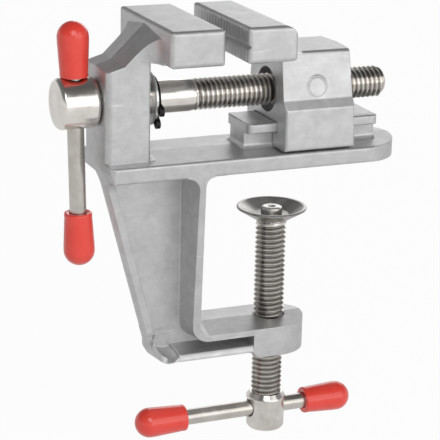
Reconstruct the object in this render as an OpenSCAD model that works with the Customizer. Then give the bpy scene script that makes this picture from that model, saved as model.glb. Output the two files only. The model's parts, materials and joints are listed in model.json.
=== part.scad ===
// Mini bench vise with a C-clamp base.
// X runs along the main screw, from its handle to its free end. Z is up.
// The origin is on the face that rests on the bench, at the clamp screw's axis.

/* [Jaws] */
// Width of both jaws, across the vise
jaw_w = 35; // [26:0.5:60]
// Height of both jaw blocks
jaw_h = 8.6; // [7:0.1:16]
// Thickness of the fixed jaw block
fixed_jaw_t = 13.5; // [8:0.1:24]
// Thickness of the moving jaw block
moving_jaw_t = 12.7; // [8:0.1:24]
// Opening between the jaw faces, as drawn
jaw_gap = 5.6; // [0.5:0.1:20]
// Height of the jaws' undersides above the main screw's axis
jaw_rise = 10.3; // [9:0.1:20]
// Radius on the jaw blocks' long edges
jaw_edge_r = 1.1; // [0.4:0.1:1.6]
// Radius on the moving jaw's back upper edge
jaw_back_r = 2.8; // [1:0.1:4]
// Width of the V-groove in the moving jaw's face
groove_w = 1.4; // [0.8:0.1:2.4]
// Distance between the upright serrations of the jaw faces
serration_pitch = 1.75; // [1.2:0.05:3.5]
// Depth of the serrations
serration_d = 0.22; // [0.1:0.01:0.4]

/* [Moving jaw body] */
// Length of the moving jaw's body along the screw
slider_l = 18.5; // [14:0.5:30]
// Width of the body where it straddles the rail
slider_w = 24; // [20:0.5:32]
// Width of the body's top
slider_top_w = 16.8; // [13:0.1:19]
// Width of the body just above its sloped shoulder
slider_mid_w = 20.4; // [17:0.1:23]
// How far the body's front reaches below the jaw block
slider_lap = 0.1; // [0:0.1:4]
// Length of the neck behind the jaw block
neck_l = 3.8; // [2:0.1:8]
// Height of the sloped shoulder's lower edge below the screw axis
shoulder_drop = 3; // [1.5:0.05:5]
// Diameter of the recess in front of the nut thread
recess_d = 11.2; // [10:0.1:14]
// Depth of that recess
recess_depth = 3; // [1:0.1:6]

/* [Post and plate] */
// Height of the main screw's axis above the bench face
screw_rise = 17.5; // [15:0.1:30]
// Distance from the post's outer face to the clamp screw's axis
reach = 46.2; // [40:0.1:70]
// Thickness of the post, along the screw
post_t = 11; // [8:0.1:18]
// Width of the post
post_w = 16; // [13.5:0.1:20]
// Step from the post's inner face to the fixed jaw block
jaw_step = 1.1; // [0.2:0.1:4]
// Height of the post's outer top edge above the screw axis
post_rise = 8.7; // [7:0.1:9.5]
// Width of the plate
plate_w = 23; // [20:0.5:32]
// Length of the plate
plate_l = 77.4; // [70:0.1:110]
// Thickness of the plate at its long edges
plate_t = 3.86; // [3:0.02:6]
// Rise of the parting-line crest along the plate's middle
crest = 0.54; // [0.2:0.01:1]
// Depth of the milled cut that makes the bench face
milled_d = 0.15; // [0.05:0.01:0.4]

/* [Slide rail] */
// Length of the rail
rail_l = 35; // [25:0.5:50]
// How far the rail starts in front of the moving jaw's body
rail_lead = 7.5; // [2:0.1:10]
// Width of the rail's head
rail_head_w = 13.6; // [11:0.1:16]
// Thickness of the rail's head
rail_head_t = 2.35; // [1.6:0.05:3.5]
// Width of the rail's web
rail_web_w = 8.4; // [6:0.1:9.5]
// Height of the rail's top below the main screw's axis
rail_drop = 6.9; // [5.8:0.05:8]
// Sliding clearance between the rail and the moving jaw
slide_gap = 0.15; // [0.05:0.01:0.25]

/* [Clamp frame] */
// Clear height between the bench face and the lower arm
throat_h = 40.6; // [34:0.1:60]
// Distance from the throat's back to the clamp screw's axis
throat_depth = 21.3; // [16:0.1:30]
// Thickness of the flange that lines the throat, at its edges
inner_flange_t = 2; // [1.4:0.1:3]
// Thickness of the flange along the outside, at its edges
outer_flange_t = 1.9; // [1.4:0.1:3]
// Width of the outer flange at mid height
outer_flange_w = 5.5; // [4:0.1:9]
// Thickness of the web between the flanges
web_t = 2.4; // [1.6:0.1:3.6]
// Angle of the outer flange away from upright
flange_lean = 15; // [8:0.5:22]
// Width of the lower arm
arm_w = 17.4; // [15:0.5:24]
// Height of the lower arm
arm_h = 7.4; // [6.6:0.1:10]
// Thickness of the lower arm's two flanges, at their edges
arm_flange_t = 1.5; // [1.2:0.1:2]
// Height of the boss that holds the clamp screw's thread
boss_h = 8.3; // [7:0.1:12]

/* [Screws] */
// Diameter of both screws
screw_d = 7.9; // [7:0.1:8.6]
// Running clearance round both screws
bore_gap = 0.06; // [0.02:0.01:0.1]
// Length of the main screw from the post's outer face to its free end
main_screw_l = 74.9; // [60:0.1:110]
// Diameter of the main screw's head
main_head_d = 12.2; // [11:0.1:14]
// Length of the main screw's head
main_head_l = 9.5; // [7:0.1:14]
// Length of the clamp screw from its pad to its head
clamp_screw_l = 46.4; // [42:0.1:60]
// Diameter of the clamp screw's head
clamp_head_d = 10; // [9:0.1:12]
// Length of the clamp screw's head
clamp_head_l = 9.8; // [8:0.1:16]
// Chamfer on the heads and screw ends
chamfer = 0.5; // [0.2:0.1:1]

/* [Washer, ring and pad] */
// Outer diameter of the thrust washer
washer_d = 13; // [11:0.1:14]
// Thickness of the thrust washer
washer_t = 0.8; // [0.5:0.05:1.5]
// Diameter of the groove that the retaining ring sits in
ring_groove_d = 6.6; // [5.5:0.1:7]
// Outer diameter of the retaining ring
ring_d = 10.6; // [9.2:0.1:11]
// Radius of the retaining ring's lugs
lug_r = 1.2; // [0.9:0.05:1.5]
// End play of the main screw, between the post and the washer
end_play = 1.75; // [0.1:0.05:2.5]
// Thickness of the retaining ring
ring_t = 0.9; // [0.6:0.05:1.4]
// Diameter of the clamp pad's rim
pad_d = 17.5; // [15:0.1:22]
// Depth of the dished clamp pad
pad_h = 3; // [2:0.1:5]
// Sheet thickness of the clamp pad
pad_t = 1; // [0.7:0.05:1.5]
// Height of the pad's rim below the bench face
pad_drop = 12.4; // [8:0.1:20]

/* [Handles] */
// Diameter of both handle bars
bar_d = 4; // [3:0.1:5]
// Length of both handles over their caps
handle_l = 59.1; // [50:0.5:90]
// Length of a handle cap
cap_l = 13.1; // [10:0.1:20]
// Diameter of a cap at its open end
cap_open_d = 6.7; // [6:0.1:9]
// Diameter of a cap near its domed end
cap_dome_d = 7.5; // [7:0.1:10]
// Clearance round a handle bar in its hole
bar_gap = 0.28; // [0.1:0.01:0.4]
// How far the clamp handle is slid off centre
bar_offset = 6; // [0:0.1:9]

/* [Hidden] */
$fn = 64;

fine = 0.05;                        // clearance between faces that run together
past = 1;                           // how far a cut runs past the surface it opens
screw_z = screw_rise;
post_x = -reach;                    // the post's outer face
post_in_x = post_x + post_t;        // the post's inner face
fixed_jaw_x = post_in_x + jaw_step;
fixed_face_x = fixed_jaw_x + fixed_jaw_t;
moving_face_x = fixed_face_x + jaw_gap;
moving_back_x = moving_face_x + moving_jaw_t;
slider_x = moving_back_x - slider_lap;
slider_end_x = slider_x + slider_l;
jaw_z = screw_z + jaw_rise;
jaw_top_z = jaw_z + jaw_h;
plate_end_x = post_x + plate_l;
rail_x = slider_x - rail_lead;
rail_end_x = rail_x + rail_l;
rail_top_z = screw_z - rail_drop;
rail_head_z = rail_top_z - rail_head_t;
shaft_r = screw_d / 2;
bore_r = shaft_r + bore_gap;
washer_x = post_in_x + end_play;
ring_x = washer_x + washer_t + fine;
throat_x = -throat_depth;           // the throat's back face
arm_top_z = -throat_h;
arm_bottom_z = arm_top_z - arm_h;
boss_r = arm_w / 2;
boss_block = 7.6;                   // how far the solid end reaches behind the clamp screw's axis
draft = 0.09;                       // taper of the frame's flanges, per mm from the middle
frame_fillet_r = 2.2;
post_fillet_r = 1.6;
flange_top_x = post_x + 1.1;        // the outer flange's outside, at the bench face
flange_foot_x = flange_top_x - arm_bottom_z * tan(flange_lean);
pad_z = -pad_drop;
pad_seat_z = pad_z - pad_h;         // underside of the pad, where the screw's shoulder bears
rivet_d = 5.4;
rivet_neck_d = 3.4;
clamp_head_z = pad_seat_z - clamp_screw_l;
head_gap = 0.25;                    // between the main screw's head and the post
main_head_x = post_x - head_gap - main_head_l;
main_bar_x = main_head_x + main_head_l / 2;
main_head_r = main_head_d / 2;
clamp_bar_z = clamp_head_z - 4.4;      // the cross hole's axis
bar_hole_r = bar_d / 2 + bar_gap;
bar_lean = atan(0.6 * bar_gap / main_head_r);  // the main handle leans in its hole
cap_grip = 6.5;                     // how far a bar reaches into its cap

// Rounded outline: each corner is [x, y, radius], and no radius outgrows its edges.
function unit(v) = v / norm(v);
function flat2(p) = [p[0], p[1]];
function corner_arc(a, b, c, steps) =
    let (
        back = unit(flat2(a) - flat2(b)),
        ahead = unit(flat2(c) - flat2(b)),
        half = acos(back * ahead) / 2,
        room = 0.48 * min(norm(flat2(a) - flat2(b)), norm(flat2(c) - flat2(b))),
        r = min(b[2], room * tan(half)),
        centre = flat2(b) + unit(back + ahead) * r / sin(half),
        start = flat2(b) + back * r / tan(half) - centre,
        turn = (back[0] * ahead[1] - back[1] * ahead[0] > 0 ? -1 : 1) * (180 - 2 * half)
    )
    [for (i = [0:steps])
        let (angle = turn * i / steps)
        centre + [start[0] * cos(angle) - start[1] * sin(angle),
                  start[0] * sin(angle) + start[1] * cos(angle)]];
function rounded(corners, steps = 5) =
    let (n = len(corners))
    [for (i = [0:n - 1])
        each (corners[i][2] > 0
            ? corner_arc(corners[(i + n - 1) % n], corners[i], corners[(i + 1) % n], steps)
            : [flat2(corners[i])])];

// Outline of [x, z, radius] corners, closed by its own mirror image in x.
function mirrored(side) =
    concat(side, [for (i = [len(side) - 1:-1:0]) [-side[i][0], side[i][1], side[i][2]]]);

// Outline in X and Z, drawn across the vise.
module side_view(outline, width) {
    rotate([90, 0, 0]) linear_extrude(width, center = true) polygon(outline);
}

// Outline in Y and Z, drawn from x0 to x1.
module cross_section(outline, x0, x1) {
    translate([x0, 0, 0]) rotate([90, 0, 90]) linear_extrude(x1 - x0) polygon(outline);
}

// Outline in X and Y, drawn from z0 to z1.
module plan_view(outline, z0, z1) {
    translate([0, 0, z0]) linear_extrude(z1 - z0) polygon(outline);
}

// Round bar along X.
module bar_x(x0, x1, r, z = 0) {
    translate([x0, 0, z]) rotate([0, 90, 0]) cylinder(h = x1 - x0, r = r);
}

// Round bar along Z.
module bar_z(z0, z1, r) {
    translate([0, 0, z0]) cylinder(h = z1 - z0, r = r);
}

// Turned profile of [radius, height] points about Z.
module turned(profile) {
    rotate_extrude() polygon(profile);
}

// Everything above the two drafted faces that fall away from a ridge line.
module above_ridge(x, z, pitch, fall) {
    size = 2 * jaw_w;
    for (side = [-1, 1])
        translate([x, 0, z]) rotate([0, -pitch, 0]) rotate([-side * fall, 0, 0])
            translate([-size / 2, -size / 2, 0]) cube([size, size, size / 2]);
}

// Jaw block from x0 to x1, with its edges rounded all round.
module jaw_block(x0, x1, back_r, low_r) {
    half_w = jaw_w / 2;
    r = jaw_edge_r;
    intersection() {
        side_view(rounded([[x0, jaw_z, r], [x1, jaw_z, low_r], [x1, jaw_top_z, back_r],
                           [x0, jaw_top_z, r]], 7), jaw_w);
        plan_view(rounded([[x0, -half_w, r], [x1, -half_w, r], [x1, half_w, r],
                           [x0, half_w, r]]), jaw_z - past, jaw_top_z + past);
        cross_section(rounded([[-half_w, jaw_z, r], [half_w, jaw_z, r],
                               [half_w, jaw_top_z, r], [-half_w, jaw_top_z, r]]), x0 - past, x1 + past);
    }
}

// Upright V-cuts along a jaw face. The side is 1 where the face looks along +X.
module serrations(face_x, side) {
    count = floor((jaw_w - 3) / serration_pitch);
    half = serration_pitch / 2;
    for (i = [0:count - 1])
        translate([face_x, (i - (count - 1) / 2) * serration_pitch, jaw_z - past])
            linear_extrude(jaw_h + 2 * past)
                polygon([[-side * serration_d, 0], [side * fine, -half * 0.7], [side * fine, half * 0.7]]);
}

// What lies above the post's shoulder and the slope behind the fixed jaw.
module above_slope() {
    intersection() {
        above_ridge(post_x, screw_z + post_rise, 17, 4);
        above_ridge(post_x + 3.6, screw_z + post_rise + 1.1, 44, 6);
    }
}

// Fixed jaw block, with the neck that flares out of the post to carry it.
module fixed_jaw() {
    half_w = post_w / 2;
    flare_r = 4.6;
    flare_w = half_w + flare_r;
    tip_x = fixed_jaw_x + 3;
    difference() {
        jaw_block(fixed_jaw_x, fixed_face_x, jaw_edge_r, jaw_edge_r);
        serrations(fixed_face_x, 1);
    }
    difference() {
        plan_view(concat(
            [[post_in_x - 2, -half_w], [fixed_jaw_x - flare_r, -half_w]],
            [for (a = [15:15:90]) [fixed_jaw_x - flare_r * (1 - sin(a)),
                                   -half_w - flare_r * (1 - cos(a))]],
            [[tip_x, -flare_w], [tip_x, flare_w]],
            [for (a = [90:-15:15]) [fixed_jaw_x - flare_r * (1 - sin(a)),
                                    half_w + flare_r * (1 - cos(a))]],
            [[fixed_jaw_x - flare_r, half_w], [post_in_x - 2, half_w]]
        ), jaw_z, jaw_top_z - jaw_edge_r);
        above_slope();
    }
}

// Upright post that carries the main screw.
module post() {
    half_w = post_w / 2;
    r = 1.6;
    difference() {
        plan_view(rounded([[post_x, -half_w, r], [post_in_x, -half_w, 0.8], [post_in_x, half_w, 0.8],
                           [post_x, half_w, r]]), plate_t / 2, jaw_top_z - jaw_edge_r);
        above_slope();
    }
    side_view(concat([[post_x + 3, plate_t / 2], [post_in_x + post_fillet_r, plate_t / 2],
                      [post_in_x + post_fillet_r, plate_t + crest]],
        [for (a = [15:15:75]) [post_in_x + post_fillet_r * (1 - sin(a)),
                               plate_t + crest + post_fillet_r * (1 - cos(a))]],
        [[post_in_x, plate_t + crest + post_fillet_r], [post_x + 3, plate_t + crest + post_fillet_r]]),
        post_w - 1.6);
}

// Plate that rests on the bench, with a full-round end and a crest along its middle.
module plate() {
    half_w = plate_w / 2;
    edge_r = 0.7;
    intersection() {
        plan_view(rounded([[post_x, -half_w, 1.6], [plate_end_x, -half_w, half_w],
                           [plate_end_x, half_w, half_w], [post_x, half_w, 1.6]], 14),
                  -past, plate_t + past);
        cross_section(rounded([[-half_w + 0.1, -milled_d, edge_r], [half_w - 0.1, -milled_d, edge_r],
                               [half_w, plate_t, edge_r], [0, plate_t + crest, 0],
                               [-half_w, plate_t, edge_r]]), post_x, plate_end_x);
        side_view([[post_x, plate_t + past], [post_x, plate_t - 1], [flange_top_x, -milled_d],
                   [plate_end_x, -milled_d], [plate_end_x, plate_t + past]], plate_w);
    }
}

// T-shaped rail that guides the moving jaw.
module slide_rail() {
    head = rail_head_w / 2;
    web = rail_web_w / 2;
    intersection() {
        cross_section(rounded(mirrored([[web + 1.5, plate_t - 1, 0], [web + 0.8, plate_t + 0.3, 0],
                                        [web, plate_t + 1.1, 0.9], [web, rail_head_z, 0.2],
                                        [head, rail_head_z, 0.3], [head, rail_top_z, 0.5]]), 3),
                      rail_x - 2, rail_end_x + 1);
        side_view(rounded([[rail_x - 1.5, plate_t - 1, 0], [rail_end_x + 0.6, plate_t - 1, 0],
                           [rail_end_x, plate_t + 1, 1], [rail_end_x, rail_top_z, 0.4],
                           [rail_x, rail_top_z, 0.4], [rail_x, plate_t + 1.2, 1.4]], 3), rail_head_w);
        union() {
            plan_view(rounded([[rail_x, -head, 1.6], [rail_end_x, -head, 1.6],
                               [rail_end_x, head, 1.6], [rail_x, head, 1.6]]),
                      plate_t - 1, rail_top_z + past);
            plan_view([[rail_x - 2, -web - 1.5], [rail_end_x + 1, -web - 1.5],
                       [rail_end_x + 1, web + 1.5], [rail_x - 2, web + 1.5]],
                      plate_t - 1, rail_head_z - 0.6);
        }
    }
}

// C-frame below the plate: a thin web with a flange along its inside and its outside.
module frame() {
    taper = draft * arm_w;          // how much thicker the arm's flanges are in the middle
    inner_x = throat_x - inner_flange_t - taper;
    arm_flange_z = arm_top_z - arm_flange_t - taper;
    pocket_z = arm_bottom_z + arm_flange_t + taper;
    arm_end_x = 1.5 - boss_block;
    plate_in_z = 2;                 // how high the flanges reach into the plate
    lean = tan(flange_lean);
    outer_t = (outer_flange_t + draft * outer_flange_w) / cos(flange_lean);
    top_x = flange_top_x - plate_in_z * lean;
    pocket_foot_x = flange_foot_x + outer_t - (pocket_z - arm_bottom_z) * lean;
    sunk = 0.6;                     // how far the web's rim lies below the flanges' crests

    // web
    side_view(rounded([[top_x + 2 * sunk, plate_in_z, 0], [flange_foot_x + sunk, arm_bottom_z + sunk, 2],
        [arm_end_x, arm_bottom_z + sunk, 0], [arm_end_x, arm_top_z - 1, 0],
        [throat_x - 1, arm_top_z - 1, 3], [throat_x - 1, plate_in_z, 0]]), web_t);

    // outer flange, which widens to the post above and to the arm below
    intersection() {
        drafted(rounded([[top_x, plate_in_z, 0], [flange_foot_x, arm_bottom_z, 2.6],
            [arm_end_x, arm_bottom_z, 0], [arm_end_x, pocket_z, 0],
            [pocket_foot_x, pocket_z, 3.6], [top_x + outer_t, plate_in_z, 0]], 8), plate_w);
        outer_flange_width();
        outer_flange_plan();
    }

    // inner flange, which turns into the arm's top
    intersection() {
        drafted(rounded([[inner_x, plate_in_z, 0], [inner_x, arm_flange_z, 4.5],
            [arm_end_x, arm_flange_z, 0], [arm_end_x, arm_top_z, 0],
            [throat_x, arm_top_z, 2.8], [throat_x, plate_in_z, 0]], 8), plate_w);
        inner_flange_width();
    }

    // fillets under the plate, beside both flanges
    side_fillet(throat_x, 1, frame_fillet_r);
    side_fillet(inner_x, -1, 3.2);
}

// Outline in X and Z, drawn across the vise and tapered so that it is thickest in the middle.
module drafted(outline, width) {
    intersection_for(k = [-draft, draft])
        multmatrix([[1, k, 0, 0], [0, 1, 0, 0], [0, k, 1, 0], [0, 0, 0, 1]]) side_view(outline, width);
}

// Width of the outer flange at each height, as an outline in Y and Z.
module outer_flange_width() {
    mid = outer_flange_w / 2;
    top = post_w / 2;
    arm = arm_w / 2;
    side = [[top, 2, 0], [top, -0.2, 2], [mid, -2.2, 3], [mid, arm_bottom_z + 6, 3],
            [arm, arm_bottom_z + 2, 3], [arm, arm_bottom_z - past, 0]];
    cross_section(rounded(mirrored(side), 8), post_x - past, boss_r);
}

// Rounded ends of the lower arm, as an outline in X and Y.
module outer_flange_plan() {
    mid = outer_flange_w / 2;
    top = post_w / 2;
    arm = arm_w / 2;
    foot_x = flange_foot_x + 0.3;
    side = [[arm, boss_r, 0], [arm, foot_x, 3.5], [mid, foot_x, 0], [mid, foot_x - 1, 0],
            [top, foot_x - 5, 0], [top, post_x - past, 0]];
    plan_view([for (corner = rounded(mirrored(side), 8)) [corner[1], corner[0]]],
              arm_bottom_z - past, 2);
}

// Width of the inner flange, which tapers from the plate's width to the arm's.
module inner_flange_width() {
    top = plate_w / 2 - 0.1;
    arm = arm_w / 2;
    cross_section([[-top, 3], [top, 3], [top, 0], [arm, arm_top_z], [arm, arm_bottom_z],
                   [-arm, arm_bottom_z], [-arm, arm_top_z], [-top, 0]], post_x, boss_r);
}

// Fillet of radius r in the corner between the plate's underside and an upright flange.
module side_fillet(x, side, r) {
    half_w = plate_w / 2 - 0.1;
    for (half = [-1, 1])
        multmatrix([[1, -half * side * draft, 0, 0], [0, 1, 0, 0], [0, 0, 1, 0], [0, 0, 0, 1]])
            translate([0, half * half_w / 2, 0])
                side_view(concat([[x - side * 0.4, 0.4], [x - side * 0.4, -milled_d - r], [x, -milled_d - r]],
                    [for (a = [15:15:75]) [x + side * r * (1 - cos(a)), -milled_d - r * (1 - sin(a))]],
                    [[x + side * r, -milled_d], [x + side * r, 0.4]]), half_w);
}

// Boss at the end of the arm: round at its end and square where the arm's pockets stop.
module clamp_boss() {
    edge = draft * boss_r;
    low_z = arm_top_z - boss_h;
    intersection() {
        union() {
            bar_z(low_z, arm_top_z, boss_r);
            side_view(rounded([[-boss_block, low_z, 2], [0, low_z, 0], [0, arm_top_z, 0],
                               [-boss_block, arm_top_z, 0]]), arm_w);
        }
        cross_section([[-boss_r, arm_top_z - edge], [0, arm_top_z], [boss_r, arm_top_z - edge],
                       [boss_r, low_z], [-boss_r, low_z]], -boss_r, boss_r);
    }
}

// The one casting: fixed jaw, post, plate, rail, C-frame and clamp boss.
module vise_body() {
    milled_x = throat_x + 2 * frame_fillet_r;
    color([0.78, 0.79, 0.80])
    difference() {
        union() {
            fixed_jaw();
            post();
            plate();
            slide_rail();
            frame();
            clamp_boss();
        }
        bar_x(post_x - past, post_in_x + 3, bore_r, screw_z);
        bar_z(arm_top_z - boss_h - past, arm_top_z + past, bore_r);
        translate([milled_x, -plate_w / 2 - past, -milled_d - past])
            cube([plate_end_x - milled_x + past, plate_w + 2 * past, milled_d + past]);
    }
}

// Moving jaw: block, nut body and the T-slot that straddles the rail.
module moving_jaw() {
    half_w = slider_w / 2;
    mid_w = slider_mid_w / 2;
    top_w = slider_top_w / 2;
    low_z = plate_t + crest + 0.1;
    slot_head = rail_head_w / 2 + slide_gap;
    slot_web = rail_web_w / 2 + 2 * slide_gap;
    shoulder_z = screw_z - shoulder_drop;
    neck_x = moving_back_x + neck_l;
    neck_r = 1.4;
    body_top_z = jaw_z + 0.25;
    end_crest = 1.3;                // how far the end face's middle stands proud
    end_lean = 0.055;               // slope of the end face, towards the jaw block above
    mouth = 0.5;                    // chamfer at the slot's mouth, clear of the rail's foot
    color([0.80, 0.81, 0.82])
    difference() {
        union() {
            difference() {
                jaw_block(moving_face_x, moving_back_x, jaw_back_r, 1.8);
                serrations(moving_face_x, -1);
                side_view([[moving_face_x - fine, jaw_z + 4 - groove_w / 2 - fine],
                           [moving_face_x + groove_w / 2, jaw_z + 4],
                           [moving_face_x - fine, jaw_z + 4 + groove_w / 2 + fine]], jaw_w + 2);
            }
            intersection() {
                cross_section(rounded([[-half_w, low_z, 0.8], [half_w, low_z, 0.8],
                    [half_w - 0.2, shoulder_z, 0.8], [mid_w, shoulder_z + 2.2, 1.2],
                    [top_w, body_top_z, 1.2], [-top_w, body_top_z, 1.2],
                    [-mid_w, shoulder_z + 2.2, 1.2], [-half_w + 0.2, shoulder_z, 0.8]]),
                    slider_x, slider_end_x + past);
                plan_view(rounded([[slider_x, -half_w, 1.1], [slider_end_x + past, -half_w, 0],
                    [slider_end_x + past, half_w, 0], [slider_x, half_w, 1.1]]), low_z, jaw_top_z);
                multmatrix([[1, 0, -end_lean, end_lean * (low_z + 4)], [0, 1, 0, 0],
                            [0, 0, 1, 0], [0, 0, 0, 1]])
                    plan_view(rounded([[slider_x - past, -half_w, 0], [slider_end_x, -half_w, 1.1],
                        [slider_end_x + end_crest, 0, 4], [slider_end_x, half_w, 1.1],
                        [slider_x - past, half_w, 0]]), low_z, jaw_top_z);
            }
            // neck that joins the block to the body, with a fillet behind it
            intersection() {
                side_view(concat(
                    [[moving_back_x - 3, jaw_z], [slider_x + 1, jaw_z], [slider_x + 1, jaw_z - 1],
                     [neck_x + neck_r, jaw_z - 1]],
                    [for (a = [0:15:90])
                        [neck_x + neck_r * (1 - sin(a)), body_top_z + neck_r * (1 - cos(a))]],
                    [[neck_x - 0.3, jaw_z + 2.6], [moving_back_x, jaw_z + 5.6],
                     [moving_back_x - 3, jaw_z + 5.6]]), slider_top_w);
                cross_section([[-top_w, jaw_z - 2], [top_w, jaw_z - 2], [top_w - 0.5, jaw_top_z],
                               [-top_w + 0.5, jaw_top_z]], moving_back_x - 4, slider_end_x);
            }
        }
        // T-slot
        cross_section(rounded(mirrored([[slot_web + mouth, low_z - past, 0], [slot_web + mouth, low_z, 0],
            [slot_web, low_z + mouth, 0], [slot_web, rail_head_z - slide_gap, 0],
            [slot_head, rail_head_z - slide_gap, 0], [slot_head, rail_top_z + slide_gap, 0.3]]), 3),
            slider_x - past, slider_end_x + end_crest + past);
        bar_x(slider_x - past, slider_end_x + end_crest + past, bore_r, screw_z);
        bar_x(slider_x - past, slider_x + recess_depth, recess_d / 2, screw_z);
    }
}

// Main screw, with its cross-drilled head outside the post and a groove for the ring inside it.
module main_screw() {
    head_end_x = post_x - head_gap;
    end_x = post_x + main_screw_l;
    color([0.72, 0.70, 0.68])
    difference() {
        translate([0, 0, screw_z]) rotate([0, 90, 0])
            turned([[0, main_head_x], [main_head_r - chamfer, main_head_x],
                    [main_head_r, main_head_x + chamfer], [main_head_r, head_end_x - chamfer],
                    [main_head_r - chamfer, head_end_x], [shaft_r, head_end_x],
                    [shaft_r, ring_x], [ring_groove_d / 2, ring_x],
                    [ring_groove_d / 2, ring_x + ring_t + fine], [shaft_r, ring_x + ring_t + fine],
                    [shaft_r, end_x - 1.2], [shaft_r - 1.2, end_x], [0, end_x]]);
        translate([main_bar_x, 0, 0]) bar_z(screw_z - main_head_d, screw_z + main_head_d, bar_hole_r);
    }
}

// Plain washer that takes the thrust against the post's inner face.
module thrust_washer() {
    color([0.86, 0.86, 0.85])
    difference() {
        bar_x(washer_x, washer_x + washer_t, washer_d / 2, screw_z);
        bar_x(washer_x - past, washer_x + washer_t + past, shaft_r + bore_gap, screw_z);
    }
}

// Open spring ring in the screw's groove, with a lug with a hole at each end.
module retaining_ring() {
    open_at = 54.5;                 // where the ring is open, in degrees from straight down
    lug_angle = 18.5;               // from the opening's middle to each lug
    groove_r = ring_groove_d / 2;
    lug_reach = ring_d / 2 + 1.25 * lug_r;
    slit_w = 2 * (lug_reach * sin(lug_angle) - lug_r);
    color([0.10, 0.10, 0.10])
    translate([ring_x + fine / 2, 0, screw_z]) rotate([0, 90, 0]) rotate([0, 0, -open_at])
    difference() {
        union() {
            cylinder(h = ring_t, r = ring_d / 2);
            for (side = [-1, 1])
                rotate([0, 0, side * lug_angle]) {
                    translate([lug_reach, 0, 0]) cylinder(h = ring_t, r = lug_r);
                    translate([groove_r, -lug_r, 0]) cube([lug_reach - groove_r, 2 * lug_r, ring_t]);
                }
        }
        translate([0, 0, -past]) cylinder(h = ring_t + 2 * past, r = groove_r + fine / 2);
        translate([0, -slit_w / 2, -past]) cube([ring_d, slit_w, ring_t + 2 * past]);
        for (side = [-1, 1])
            rotate([0, 0, side * lug_angle]) translate([lug_reach, 0, -past])
                cylinder(h = ring_t + 2 * past, r = lug_r / 2);
    }
}

// Plain handle bar of the given length along Z, rounded at its ends.
module handle_bar() {
    half_l = handle_l / 2 - cap_l + cap_grip;
    r = bar_d / 2;
    turned([[0, -half_l], [r - 0.4, -half_l], [r, -half_l + 0.4], [r, half_l - 0.4],
            [r - 0.4, half_l], [0, half_l]]);
}

// Moulded cap that grips a bar's end. It stands with its open end at the origin.
module handle_cap() {
    open_r = cap_open_d / 2;
    dome_r = cap_dome_d / 2;
    difference() {
        turned(concat([[0, 0], [open_r - 0.3, 0], [open_r, 0.3], [open_r + 0.1, cap_l * 0.3]],
            [for (a = [0:15:75]) [dome_r * cos(a), cap_l - dome_r * (1 - sin(a))]],
            [[0, cap_l]]));
        bar_z(-past, cap_grip + 0.2, bar_d / 2 + fine);
    }
}

// The main handle hangs by its upper cap, which rests on the screw's head, and leans in its hole.
module main_handle_place() {
    cap_seat = main_head_r + fine + cap_open_d / 2 * tan(bar_lean);
    translate([main_bar_x, 0, screw_z]) rotate([0, -bar_lean, 0])
        translate([0, 0, cap_seat + cap_l - handle_l / 2]) children();
}

module main_handle_bar() {
    color([0.70, 0.68, 0.66]) main_handle_place() handle_bar();
}

module main_handle_cap_upper() {
    color([0.96, 0.30, 0.26]) main_handle_place()
        translate([0, 0, handle_l / 2 - cap_l]) handle_cap();
}

module main_handle_cap_lower() {
    color([0.96, 0.30, 0.26]) main_handle_place()
        translate([0, 0, cap_l - handle_l / 2]) mirror([0, 0, 1]) handle_cap();
}

// Clamp screw: threaded shank, cross-drilled head below, and a spigot that the pad is riveted to.
module clamp_screw() {
    head_r = clamp_head_d / 2;
    low_z = clamp_head_z - clamp_head_l;
    top_z = pad_seat_z - fine;
    color([0.72, 0.70, 0.68])
    difference() {
        turned([[0, low_z], [head_r - 0.9, low_z], [head_r - 0.2, low_z + 0.7],
                [head_r - 0.2, clamp_head_z - 2], [head_r, clamp_head_z - 1.7], [head_r, clamp_head_z - 1.3],
                [shaft_r + 0.2, clamp_head_z], [shaft_r, clamp_head_z],
                [shaft_r, top_z - 0.6], [shaft_r - 0.6, top_z], [rivet_neck_d / 2, top_z],
                [rivet_neck_d / 2, pad_seat_z + pad_t + fine], [0, pad_seat_z + pad_t + fine]]);
        translate([0, 0, clamp_bar_z]) rotate([0, 90, 0])
            cylinder(h = 2 * clamp_head_d, r = bar_hole_r, center = true);
    }
}

// Dished steel pad that presses on the bench from below.
module clamp_pad() {
    rim_r = pad_d / 2;
    seat_r = 4.4;
    color([0.66, 0.65, 0.63])
    turned([[rivet_neck_d / 2 + fine, pad_seat_z], [seat_r, pad_seat_z],
            [rim_r, pad_z - 0.5], [rim_r, pad_z], [rim_r - 0.9, pad_z],
            [seat_r - 0.3, pad_seat_z + pad_t], [rivet_neck_d / 2 + fine, pad_seat_z + pad_t]]);
}

// Peened head that holds the pad on the spigot and lets it swivel.
module pad_rivet() {
    low_z = pad_seat_z + pad_t + fine;
    r = rivet_d / 2;
    color([0.74, 0.73, 0.71])
    turned([[0, low_z], [r, low_z], [r, pad_z - 0.5], [r - 0.5, pad_z - fine], [0, pad_z - fine]]);
}

// The clamp handle lies along X and is slid towards the post.
module clamp_handle_place() {
    translate([-bar_offset, 0, clamp_bar_z]) rotate([0, 90, 0]) children();
}

module clamp_handle_bar() {
    color([0.70, 0.68, 0.66]) clamp_handle_place() handle_bar();
}

module clamp_handle_cap_left() {
    color([0.96, 0.30, 0.26]) clamp_handle_place()
        translate([0, 0, cap_l - handle_l / 2]) mirror([0, 0, 1]) handle_cap();
}

module clamp_handle_cap_right() {
    color([0.96, 0.30, 0.26]) clamp_handle_place()
        translate([0, 0, handle_l / 2 - cap_l]) handle_cap();
}

vise_body();
moving_jaw();
main_screw();
thrust_washer();
retaining_ring();
main_handle_bar();
main_handle_cap_upper();
main_handle_cap_lower();
clamp_screw();
clamp_pad();
pad_rivet();
clamp_handle_bar();
clamp_handle_cap_left();
clamp_handle_cap_right();
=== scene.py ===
import json
from math import cos, pi, radians, sin, tan

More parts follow.
